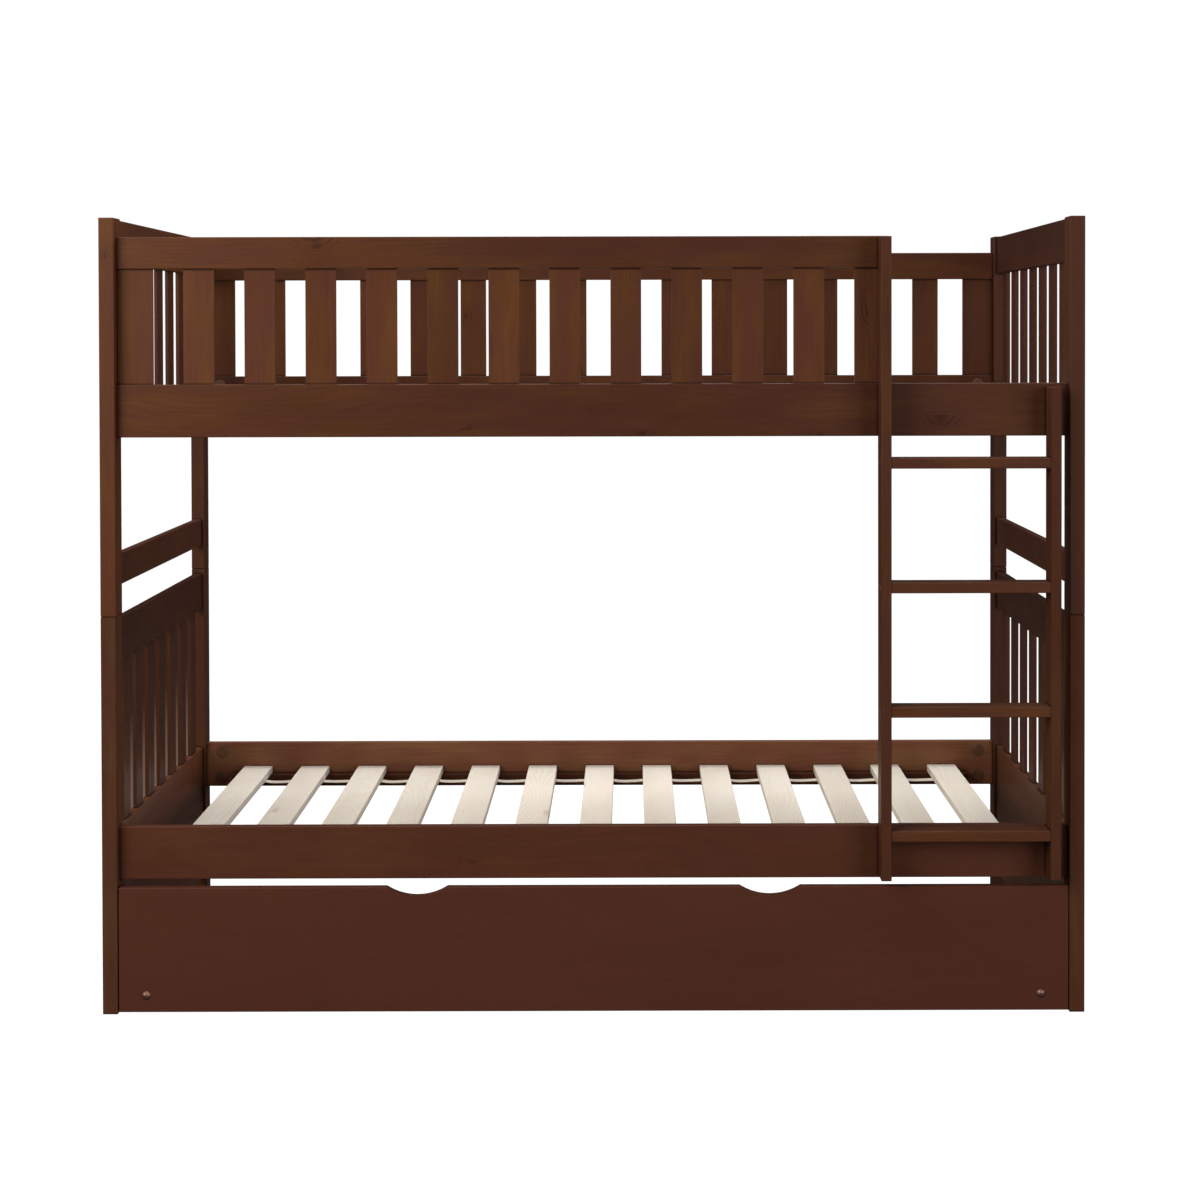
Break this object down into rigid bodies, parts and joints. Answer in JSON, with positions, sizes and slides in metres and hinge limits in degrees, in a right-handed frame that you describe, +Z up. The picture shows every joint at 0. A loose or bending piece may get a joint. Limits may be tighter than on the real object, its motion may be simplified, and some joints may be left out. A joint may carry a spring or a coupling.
{
  "type": "bunk bed with ladder",
  "caption": "Wooden bunk bed with slatted ends, guard boards, a fixed front ladder and a rolling trundle bed under the lower deck.",
  "frame": {"origin": "on the floor, under the middle of the whole bed with its ladder", "axes": "+X along the bed towards the ladder end, +Y from the ladder side to the wall side, +Z up"},
  "size_m": [2.045, 1.123, 1.658],
  "materials": {
    "cherry_panels": "dark cherry stain, satin lacquer",
    "cherry_posts": "dark cherry stain on solid wood, satin lacquer",
    "cherry_front": "dark cherry stain, satin lacquer",
    "bare_pine": "planed, unfinished",
    "webbing": "woven tape",
    "zinc_steel": "zinc plated",
    "bronze_steel": "antique bronze plated",
    "cap_plastic": "moulded brown",
    "wheel_nylon": "moulded"
  },
  "bodies": {
    "bed_frame": {"lower_post_front_left": "cherry_posts", "lower_post_front_right": "cherry_posts", "lower_post_back_left": "cherry_posts", "lower_post_back_right": "cherry_posts", "upper_post_front_left": "cherry_posts", "upper_post_front_right": "cherry_posts", "upper_post_back_left": "cherry_posts", "upper_post_back_right": "cherry_posts", "lower_end_top_left": "cherry_panels", "lower_end_top_right": "cherry_panels", "upper_end_top_left": "cherry_panels", "upper_end_top_right": "cherry_panels", "lower_end_board_left": "cherry_panels", "lower_end_board_right": "cherry_panels", "upper_end_rail_left": "cherry_panels", "upper_end_rail_right": "cherry_panels", "end_bar_left": "cherry_panels", "end_bar_right": "cherry_panels", "lower_end_slats_left": "cherry_panels", "lower_end_slats_right": "cherry_panels", "upper_end_slats_left": "cherry_panels", "upper_end_slats_right": "cherry_panels", "lower_rail_front": "cherry_panels", "lower_rail_back": "cherry_panels", "upper_rail_front": "cherry_panels", "upper_rail_back": "cherry_panels", "lower_cleats": "cherry_panels", "upper_cleats": "cherry_panels", "lower_slats": "bare_pine", "upper_slats": "bare_pine", "slat_tapes": "webbing", "guard_board_front": "cherry_panels", "guard_board_back": "cherry_panels", "guard_pickets_front": "cherry_panels", "guard_pickets_back": "cherry_panels", "ladder_upright_tall": "cherry_panels", "ladder_upright_short": "cherry_panels", "ladder_rungs": "cherry_panels", "ladder_bolts": "bronze_steel", "rung_screws": "bronze_steel", "rail_bolts": "zinc_steel", "rail_washers": "zinc_steel", "rail_nuts": "zinc_steel", "pocket_caps": "cap_plastic", "stacking_pins": "zinc_steel", "guard_dowels": "bare_pine", "cleat_screws": "zinc_steel"},
    "trundle": {"trundle_front": "cherry_front", "trundle_back": "cherry_panels", "trundle_end_left": "cherry_panels", "trundle_end_right": "cherry_panels", "trundle_cleats": "bare_pine", "trundle_slats": "bare_pine", "trundle_bolts": "bronze_steel", "trundle_barrel_nuts": "zinc_steel", "trundle_axles": "zinc_steel"},
    "wheel_front_left": {"wheel_front_left": "wheel_nylon"},
    "wheel_front_right": {"wheel_front_right": "wheel_nylon"},
    "wheel_back_left": {"wheel_back_left": "wheel_nylon"},
    "wheel_back_right": {"wheel_back_right": "wheel_nylon"}
  },
  "joints": [
    {"name": "trundle_slide", "type": "slide", "parent": "bed_frame", "child": "trundle", "axis": [0, -1, 0], "range_m": [0, 0.85]},
    {"name": "wheel_front_left_spin", "type": "hinge", "parent": "trundle", "child": "wheel_front_left", "pos_m": [-0.9105, -0.4245, 0.022], "axis": [1, 0, 0], "continuous": true},
    {"name": "wheel_front_right_spin", "type": "hinge", "parent": "trundle", "child": "wheel_front_right", "pos_m": [0.9105, -0.4245, 0.022], "axis": [1, 0, 0], "continuous": true},
    {"name": "wheel_back_left_spin", "type": "hinge", "parent": "trundle", "child": "wheel_back_left", "pos_m": [-0.9105, 0.2395, 0.022], "axis": [1, 0, 0], "continuous": true},
    {"name": "wheel_back_right_spin", "type": "hinge", "parent": "trundle", "child": "wheel_back_right", "pos_m": [0.9105, 0.2395, 0.022], "axis": [1, 0, 0], "continuous": true}
  ],
  "couplings": [
    {"joint": "wheel_front_left_spin", "follows": "trundle_slide", "rad_per_m": 45.455},
    {"joint": "wheel_front_right_spin", "follows": "trundle_slide", "rad_per_m": 45.455},
    {"joint": "wheel_back_left_spin", "follows": "trundle_slide", "rad_per_m": 45.455},
    {"joint": "wheel_back_right_spin", "follows": "trundle_slide", "rad_per_m": 45.455}
  ]
}
